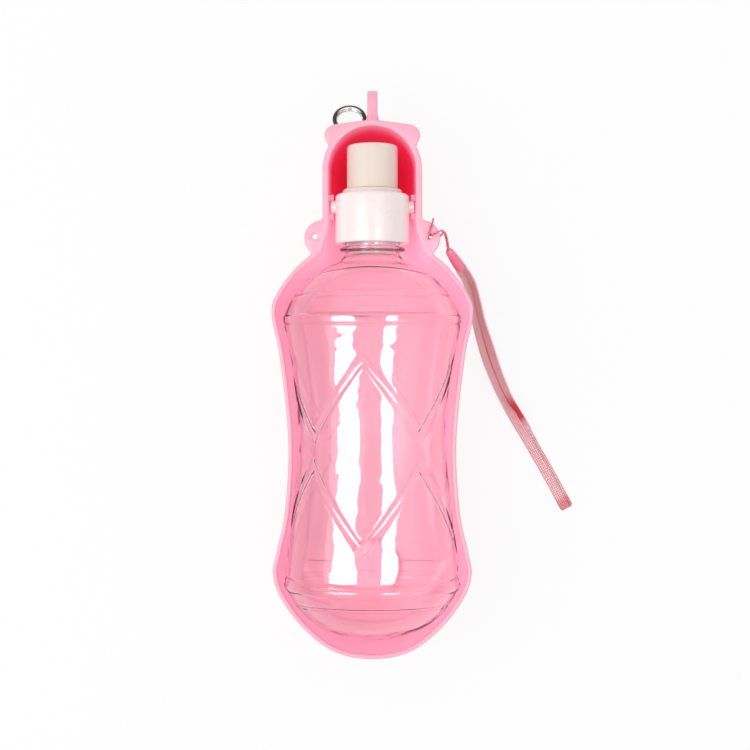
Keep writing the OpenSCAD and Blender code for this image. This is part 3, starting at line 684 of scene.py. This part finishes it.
# Painted light: the inside glows faintly by emission in its own colour, most on the walls and near the neck,
# standing in for light that comes through the thin plastic from behind; kept low.
painted_wall_glow = pink.ramp(depth, (0.0, 0.0), (0.12, 0.19), (0.8, 0.19), (1.0, 0.02))
painted_neck_glow = pink.ramp(along_hood, (0.35, 0.0), (0.55, 0.15), (0.72, 0.15), (0.82, 0.0))
painted_glow_share = pink.math("MULTIPLY", inner, pink.math("ADD", painted_wall_glow, painted_neck_glow))
pink.tree.links.new(inside_colour.outputs[2], pink.shader.inputs["Emission Color"])
pink.tree.links.new(painted_glow_share.outputs[0], pink.shader.inputs["Emission Strength"])
pink.rough(pink.ramp(pink.noise(60, 4), (0.3, 0.31), (0.7, 0.42)))
pink.bump(pink.noise(1800, 3), 0.00002)
pink.bump(pink.noise(35, 2), 0.00012)
finish_piece(shell, "trough_body", "trough_plastic", pink.material, "trough")


# The bottle. One blow-moulded shell of clear plastic with a threaded neck, two steps on its
# shoulder, a crease at each bulge and two zigzag grooves round the waist that a hand grips.
neck_top, bead_s, neck_end, neck_r = -1.6, 19.2, 22.6, 13.0
upper_w, waist_w, lower_w = 48 - 2.1 - 3.4, 40 - 2.1 - 2.6, 47.3 - 2.1 - 3.4
bulge_d, waist_d = 31, 26.5
crease_s, waist_s, lower_s, base_s = 55.5, 111, 174.6, 206.9


def part_way(a, b, f):
    return a + (b - a) * f


def shoulder(fs, fw, fd):
    return (part_way(neck_end, crease_s, fs), part_way(neck_r, upper_w, fw), part_way(neck_r, bulge_d, fd))


def base(fs, fw, fd):
    return (part_way(base_s, lower_s + 2, fs), lower_w * fw, bulge_d * fd)


body_line = catmull([
    (neck_end - 1.5, neck_r - 0.3, neck_r - 0.3), (neck_end, neck_r + 0.1, neck_r + 0.1),
    shoulder(0.06, 0.12, 0.12),
    shoulder(0.19, 0.43, 0.42), shoulder(0.5, 0.78, 0.77), shoulder(0.85, 0.97, 0.96),
    (crease_s, upper_w, bulge_d),
    (part_way(crease_s, waist_s, 0.4), part_way(upper_w, waist_w, 0.6), part_way(bulge_d, waist_d, 0.6)),
    (waist_s, waist_w, waist_d),
    (part_way(waist_s, lower_s, 0.5), part_way(waist_w, lower_w, 0.4), part_way(waist_d, bulge_d, 0.4)),
    (lower_s + 2, lower_w, bulge_d), base(0.76, 0.95, 0.96), base(0.47, 0.83, 0.8), base(0.22, 0.62, 0.57),
    base(0.07, 0.35, 0.31), base(0.01, 0.14, 0.12), (base_s, 0, 0), (base_s - 0.4, -5, -5)], 40)
neck_line = [Vector((s, r, r)) for s, r in (
    (neck_top, 12.6), (neck_top + 0.3, 12.9), (neck_top + 0.8, 13), (bead_s - 0.2, 13),
    (bead_s - 0.05, 13.25),
    (bead_s + 0.1, 14.2), (bead_s + 0.35, 15.1), (bead_s + 0.8, 15.6), (bead_s + 1.2, 15.7),
    (bead_s + 1.6, 15.6),
    (bead_s + 2.05, 15.1), (bead_s + 2.3, 14.2), (bead_s + 2.45, 13.3), (bead_s + 2.65, 13.05),
    (neck_end - 0.1, 13.0))]
profile = even_line(neck_line, 0.3) + even_line([p for p in body_line if p.x < 204.5], 0.5)
profile += even_line([p for p in body_line if p.x >= 204.5], 0.35)[1:-1]


def bump_at(x, width):
    """1 in the middle, 0 beyond width each way, with soft sides."""
    return 0.5 + 0.5 * math.cos(math.pi * min(1, abs(x) / width))


def zigzag_depth(s, turn, low, high, width):
    """How near a point of the wall lies to a zigzag that runs four times round the waist."""
    wave = abs(((turn / 90) % 1) - 0.5) * 2
    slope = math.atan2(abs(high - low), 27.0)
    off = (s - (low + (high - low) * wave)) * math.cos(slope)
    edge = abs(off) - width / 2
    return 0.5 - 0.5 * math.tanh(edge / 0.38)


def relief(s, angle):
    """Height of the mould's relief on the wall, in millimetres out, at s and angle from the side."""
    front = abs(math.sin(angle))
    out = 0
    if s < neck_end:
        if 1.8 < s < 12:
            along_thread = (s - 2.6 - 4 * ((angle / (2 * math.pi)) % 1)) % 4
            ridge = bump_at(min(along_thread, 4 - along_thread), 0.95)
            out += 1.05 * ridge * ease(s, 1.8, 3.2) * (1 - ease(s, 10, 12))
        return out
    step_one = s - (33.0 - 4.4 * front ** 1.5)
    step_two = s - (43.4 - 3.0 * front ** 1.5)
    out += 0.55 * (math.tanh(step_one / 0.45) - 1) * (1 - ease(s, 46, 54)) * ease(s, 22.6, 25)
    out += 0.35 * (math.tanh(step_two / 0.4) - 1) * ease(s, 22.6, 25)
    out -= 0.55 * bump_at(s - 56.0 - 0.7 * front, 0.9)
    out -= 0.7 * bump_at(s - 177.6 + 1.6 * (1 - front), 0.9)
    out += 0.3 * (math.tanh((s - 179.6) / 0.4) + 1) * (1 - ease(s, 184, 190))
    out -= 0.4 * bump_at(s - 189.3, 0.8)
    if 62 < s < 165:
        turn = math.degrees(angle) - 96.5
        out -= 1.1 * zigzag_depth(s, turn, 109.5, 73.0, 3.2)
        out -= 1.1 * zigzag_depth(s, turn, 122.5, 161.5, 3.2)
    return out


around = 288
outer_wall, inner_wall = [], []
for k, p in enumerate(profile):
    before, after = profile[max(k - 1, 0)], profile[min(k + 1, len(profile) - 1)]
    rise, run_s = (after.y + after.z - before.y - before.z) / 2, after.x - before.x
    size = max(math.hypot(rise, run_s), 1e-9)
    thick = 1.8 + (0.9 - 1.8) * ease(p.x, 18, 25)
    outer_ring, inner_ring = [], []
    for i in range(around):
        a = 2 * math.pi * i / around
        lift = relief(p.x, a)
        for ring, d in ((outer_ring, -lift), (inner_ring, thick - (lift if p.x > neck_end else 0))):
            s, w, h = p.x + d * rise / size, p.y - d * run_s / size, p.z - d * run_s / size
            if ring is inner_ring and p.x <= neck_end:
                s, w, h = p.x, neck_r - 1.8, neck_r - 1.8
            ring.append(place(w * math.cos(a), s, pivot_z + h * math.sin(a)))
    outer_wall.append(outer_ring)
    inner_wall.append(inner_ring)
rings = outer_wall[::-1] + inner_wall
faces = rings_to_faces(len(rings), around)
points = [p for ring in rings for p in ring]
for first, s in ((0, base_s), ((len(rings) - 1) * around, base_s - 0.9)):
    faces += [(first + i, first + (i + 1) % around, len(points)) for i in range(around)]
    points.append(place(0, s, pivot_z))
water_bottle = make_piece("water_bottle", points, faces, 70)


first_wall_depth, share_past_wall = 1.5, 0.85


def let_light_through(finish, tint):
    """Lamps and the room's soft light pass a clear wall, and so does sight past the first wall."""
    tree = finish.tree
    output = next(n for n in tree.nodes if n.type == "OUTPUT_MATERIAL")
    through = tree.nodes.new("ShaderNodeBsdfTransparent")
    through.inputs[0].default_value = (*tint, 1)
    choose = tree.nodes.new("ShaderNodeMixShader")
    path = tree.nodes.new("ShaderNodeLightPath")
    light = finish.math("MAXIMUM", path.outputs["Is Shadow Ray"], path.outputs["Is Diffuse Ray"])
    past_wall = finish.math("GREATER_THAN", path.outputs["Transmission Depth"], first_wall_depth)
    past_wall = finish.math("MULTIPLY", past_wall, share_past_wall)
    tree.links.new(finish.math("MAXIMUM", light, past_wall).outputs[0], choose.inputs[0])
    tree.links.new(finish.shader.outputs[0], choose.inputs[1])
    tree.links.new(through.outputs[0], choose.inputs[2])
    tree.links.new(choose.outputs[0], output.inputs[0])


clear = Finish("clear_wall", (1.0, 0.985, 0.99), 0.02, Transmission_Weight=1.0, IOR=1.47)
ripple = clear.noise(55, 2)
clear.bump(ripple, 0.0006)
clear.rough(clear.ramp(clear.noise(300, 3), (0.3, 0.012), (0.75, 0.05)))
let_light_through(clear, (0.99, 0.98, 0.985))
finish_piece(water_bottle, "bottle_body", "bottle_plastic", clear.material, "bottle")


# The screw collar. A turned white cap with softly rounded edges that screws on the neck; its two
# pins clip into the sockets on the hood's walls. The printed mark on its front is left bare.
pivot = place(0, 0, pivot_z)
up_bottle = (0, 1, 0)
collar_line = [(6 - 2.4, 12.35), (6 - 0.3, 12.35), (6, 12.6), (6, 15.9), (5.88, 16.7), (5.55, 17.25),
               (5.0, 17.58),
               (4.2, 17.7), (-5, 17.72), (-10.6, 17.74), (-16.4, 17.7), (-17.1, 17.6), (-17.42, 17.35),
               (-17.5, 17.0),
               (-17.5, 14.9), (-17.3, 14.6), (-16.8, 14.5), (3.6, 14.5), (3.6, 12.35)]
collar_points, collar_faces = turned(collar_line, pivot, up_bottle, 128, cap=False)
for side in (1, -1):
    pin_line = [(16.5, pin_r), (19.3, pin_r), (19.8, 3.05), (20.0, 2.7), (20.0, 0.3)]
    pin_points, pin_faces = turned(pin_line, pivot, (side, 0, 0), 40)
    collar_faces += [tuple(i + len(collar_points) for i in face) for face in pin_faces]
    collar_points += pin_points
screw_collar = make_piece("screw_collar", collar_points, collar_faces, 50)
white = Finish("collar_white", (0.975, 0.86, 0.85), 0.3, Specular_IOR_Level=0.5)
flow = white.noise(1.0, 2, vector=white.node("ShaderNodeMapping", Vector=white.place(), i3=(90, 4, 90)))
white.colour(white.ramp(flow, (0.3, (0.965, 0.84, 0.83)), (0.7, (0.985, 0.88, 0.87))))
white.rough(white.ramp(white.noise(220, 3), (0.3, 0.26), (0.7, 0.36)))
white.bump(flow, 0.00004)
white.bump(white.noise(1500, 2), 0.00001)
finish_piece(screw_collar, "bottle_body", "collar_plastic", white.material, "collar")


# The spout base. A cream step ring seated on the collar, with a tower that the nozzle slides on
# and a stem in its middle that shuts the nozzle's hole when it is pushed down.
base_line = [(3.0, 6.8), (3.0, 12.3), (3.3, 12.6), (3.5, 12.6), (3.5, 12.2), (6.0, 12.2), (6.02, 13.9),
             (6.15, 14.2),
             (7.4, 14.2), (7.85, 14.05), (8.17, 13.7), (8.3, 13.2), (8.3, 9.2), (8.5, 9.0),
             (13.2, 9.0), (13.3, 9.35),
             (13.8, 9.35), (14.1, 9.0), (15.4, 9.0), (15.4, 7.4), (17.0, 7.4), (17.0, 9.0),
             (22.4, 9.0), (22.9, 8.5),
             (22.9, 6.8), (3.0, 6.8)]
spout_points, spout_faces = turned(base_line, pivot, up_bottle, 96, cap=False)
stem_line = [(19.9, 2.3), (28.6, 2.3), (29.0, 2.15), (29.2, 1.8), (29.2, 0.3)]
stem_points, stem_faces = turned(stem_line, pivot, up_bottle, 32)
spout_faces += [tuple(i + len(spout_points) for i in face) for face in stem_faces]
spout_points += stem_points
for along_x in (True, False):
    bar = [(a, h, b) for h in (19.9, 22.5) for a, b in ((-7.2, -0.9), (7.2, -0.9), (7.2, 0.9), (-7.2, 0.9))]
    bar_points = [pivot + Vector((a, h, b) if along_x else (b, h, a)) * mm for a, h, b in bar]
    bar_faces = [(0, 1, 2, 3), (4, 5, 6, 7), (0, 1, 5, 4), (1, 2, 6, 5), (2, 3, 7, 6), (3, 0, 4, 7)]
    spout_faces += [tuple(i + len(spout_points) for i in face) for face in bar_faces]
    spout_points += bar_points
spout_step = make_piece("spout_step", spout_points, spout_faces, 40)
cream = Finish("soft_cream", (0.86, 0.73, 0.645), 0.5, Specular_IOR_Level=0.35)
mould = cream.noise(1.0, 3, vector=cream.node("ShaderNodeMapping", Vector=cream.place(), i3=(300, 12, 300)))
cream.colour(cream.ramp(mould, (0.3, (0.845, 0.71, 0.625)), (0.7, (0.875, 0.75, 0.665))))
cream.rough(cream.ramp(cream.noise(500, 3), (0.3, 0.44), (0.7, 0.6)))
cream.bump(mould, 0.00006)
cream.bump(cream.noise(1600, 3), 0.000015)
finish_piece(spout_step, "bottle_body", "nozzle_plastic", cream.material, "spout_base")


# The nozzle. A soft cream cap that pushes down to shut and pulls out to drink, with a rounded
# top edge, a flow hole in its end and a thin grip rim at its foot.
nozzle_line = [(27.3, 2.6), (27.3, 9.4), (10.0, 9.45), (9.7, 9.15), (8.5, 9.15), (8.5, 11.7),
               (8.6, 11.95), (8.85, 12.05),
               (9.6, 12.1), (27.9, 12.1), (28.5, 12.0), (28.95, 11.75), (29.25, 11.35), (29.42, 10.8),
               (29.5, 10.2),
               (29.5, 3.2), (29.4, 2.85), (29.1, 2.6), (27.3, 2.6)]
pull_nozzle = make_piece("pull_nozzle", *turned(nozzle_line, pivot, up_bottle, 128, cap=False), 40)
finish_piece(pull_nozzle, "nozzle_body", "nozzle_plastic", cream.material, "nozzle")


# The seals. A flat silicone washer under the cap and a small ring on the tower, both hidden
# inside; they keep their CAD shapes and get a soft, slightly cloudy rubber.
silicone = Finish("cloudy_silicone", (0.83, 0.80, 0.76), 0.55, Specular_IOR_Level=0.4)
silicone.colour(silicone.ramp(silicone.noise(120, 3), (0.3, (0.80, 0.77, 0.73)), (0.7, (0.87, 0.84, 0.80))))
silicone.bump(silicone.noise(900, 3), 0.00002)
for seal in ("neck_gasket", "nozzle_o_ring"):
    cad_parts[seal].data.materials.clear()
    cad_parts[seal].data.materials.append(silicone.material)


# The metal ring. Two turns of flattened spring wire lying on each other, with a kink where the
# wire steps from one turn to the next; it hangs in the small lug under the hood's end.
ring_mid, ring_lean = 7.5, math.radians(29)
ring_eye = place(ring_x, ring_s, ring_z)
wire_points = []
turns, steps_round, wire_sides = 2.06, 96, 16
wire_count = int(turns * steps_round) + 1
for k in range(wire_count):
    a = 2 * math.pi * (k / steps_round) + 2.2
    f = k / (wire_count - 1)
    level = -0.74 + 1.48 * ease(f, 0.455, 0.545)
    taper = 1 - 0.5 * (1 - min(1, f / 0.012)) - 0.5 * (1 - min(1, (1 - f) / 0.012))
    for j in range(wire_sides):
        b = 2 * math.pi * j / wire_sides
        wide = math.copysign(abs(math.cos(b)) ** 0.8, math.cos(b)) * 1.3 * taper
        high = math.copysign(abs(math.sin(b)) ** 0.8, math.sin(b)) * 0.74 * taper
        reach = ring_mid + wide
        flat = Vector((reach * math.sin(a), ring_mid + reach * math.cos(a), level + high))
        leaned = Vector((flat.x, flat.y * math.cos(ring_lean) + flat.z * math.sin(ring_lean),
                         flat.z * math.cos(ring_lean) - flat.y * math.sin(ring_lean)))
        wire_points.append(ring_eye + leaned * mm)
wire_faces = rings_to_faces(wire_count, wire_sides)
wire_faces += [tuple(range(wire_sides)), tuple(range((wire_count - 1) * wire_sides, wire_count * wire_sides))]
key_ring = make_piece("key_ring", wire_points, wire_faces, 50)
nickel = Finish("nickel_plate", (0.80, 0.79, 0.78), 0.12, Metallic=1.0)
nickel.rough(nickel.ramp(nickel.noise(900, 4), (0.35, 0.07), (0.7, 0.2)))
nickel.colour(nickel.ramp(nickel.noise(200, 3), (0.3, (0.74, 0.73, 0.72)), (0.7, (0.85, 0.84, 0.83))))
nickel.bump(nickel.noise(1500, 4), 0.000012)
finish_piece(key_ring, "ring_body", "ring_steel", nickel.material, "split_ring")


# The table and the light. A white table, an even white room, a wide oval soft box to the left and a
# smaller one to the right of the camera, and the dark camera itself, seen only in reflections.
table_mesh = bpy.data.meshes.new("table")
table_mesh.from_pydata([(-4, -4, 0), (4, -4, 0), (4, 4, 0), (-4, 4, 0)], [], [(0, 1, 2, 3)])
table = bpy.data.objects.new("table", table_mesh)
bpy.context.scene.collection.objects.link(table)
paper = Finish("white_paper", (0.93, 0.93, 0.93), 0.85)
table_mesh.materials.append(paper.material)
path = paper.tree.nodes.new("ShaderNodeLightPath")
seen = paper.math("MAXIMUM", path.outputs["Is Camera Ray"], paper.math(
    "MAXIMUM", path.outputs["Is Glossy Ray"], path.outputs["Is Transmission Ray"]))
glow = paper.node("ShaderNodeEmission", Color=(1, 1, 1, 1), Strength=1.0)
blend = paper.tree.nodes.new("ShaderNodeMixShader")
paper.tree.links.new(paper.math("MULTIPLY", seen, 0.86).outputs[0], blend.inputs[0])
paper.tree.links.new(paper.shader.outputs[0], blend.inputs[1])
paper.tree.links.new(glow.outputs[0], blend.inputs[2])
paper_out = next(n for n in paper.tree.nodes if n.type == "OUTPUT_MATERIAL")
paper.tree.links.new(blend.outputs[0], paper_out.inputs[0])

room = bpy.data.worlds.new("room")
bpy.context.scene.world = room
room.use_nodes = True
room_tree = room.node_tree
air = room_tree.nodes["Background"]
air.inputs["Color"].default_value = (1, 1, 1, 1)
room_path = room_tree.nodes.new("ShaderNodeLightPath")
most = room_tree.nodes.new("ShaderNodeMath")
most.operation = "MAXIMUM"
room_tree.links.new(room_path.outputs["Is Camera Ray"], most.inputs[0])
room_tree.links.new(room_path.outputs["Is Transmission Ray"], most.inputs[1])
level = room_tree.nodes.new("ShaderNodeMapRange")
level.inputs["To Min"].default_value = 0.86
level.inputs["To Max"].default_value = 1.0
room_tree.links.new(most.outputs[0], level.inputs["Value"])
way = room_tree.nodes.new("ShaderNodeTexCoord")
height = room_tree.nodes.new("ShaderNodeSeparateXYZ")
room_tree.links.new(way.outputs["Generated"], height.inputs[0])
walls = room_tree.nodes.new("ShaderNodeMapRange")
for socket, value in (("From Min", 0.48), ("From Max", 0.66), ("To Min", 0.06), ("To Max", 1.0)):
    walls.inputs[socket].default_value = value
room_tree.links.new(height.outputs["Z"], walls.inputs["Value"])
mirrored = room_tree.nodes.new("ShaderNodeMath")
mirrored.operation, mirrored.use_clamp = "SUBTRACT", True
room_tree.links.new(room_path.outputs["Is Glossy Ray"], mirrored.inputs[0])
room_tree.links.new(room_path.outputs["Is Transmission Ray"], mirrored.inputs[1])
choose_level = room_tree.nodes.new("ShaderNodeMix")
room_tree.links.new(mirrored.outputs[0], choose_level.inputs[0])
room_tree.links.new(level.outputs[0], choose_level.inputs[2])
room_tree.links.new(walls.outputs[0], choose_level.inputs[3])
room_tree.links.new(choose_level.outputs[0], air.inputs["Strength"])


def soft_box(name, lean_angle, wide, long, brightness, shines, distance=1.0, lean_long=3):
    """An oval soft light that leans to one side of straight above and faces the bottle."""
    lamp = bpy.data.lights.new(name, "AREA")
    lamp.shape, lamp.size, lamp.size_y = "ELLIPSE", long, wide
    lamp.energy = brightness * math.pi * wide * long
    a, b = math.radians(lean_angle), math.radians(lean_long)
    spot = Vector((math.sin(a), -math.sin(b), math.cos(a) * math.cos(b))) * distance
    light = bpy.data.objects.new(name, lamp)
    light.location = spot
    light.rotation_euler = (-spot).to_track_quat("-Z", "Y").to_euler()
    light.visible_diffuse, light.visible_glossy = shines != "gloss", shines != "shade"
    bpy.context.scene.collection.objects.link(light)


soft_box("left_soft_box", -28, 0.46, 0.50, 8.0, "gloss")
soft_box("right_soft_box", 17, 0.26, 0.50, 8.0, "gloss")
soft_box("key_light", -34, 0.6, 0.5, 2.0, "shade")
lens_mesh = bpy.data.meshes.new("camera_back")
lens_mesh.from_pydata([(0.09 * math.cos(a), 0.09 * math.sin(a), 0.76) for a in
                       [2 * math.pi * k / 32 for k in range(32)]], [], [tuple(range(32))])
camera_back = bpy.data.objects.new("camera_back", lens_mesh)
bpy.context.scene.collection.objects.link(camera_back)
camera_back.visible_camera = camera_back.visible_diffuse = camera_back.visible_shadow = False
camera_back.visible_transmission = False
black = Finish("camera_black", (0.01, 0.01, 0.01), 0.6)
lens_mesh.materials.append(black.material)
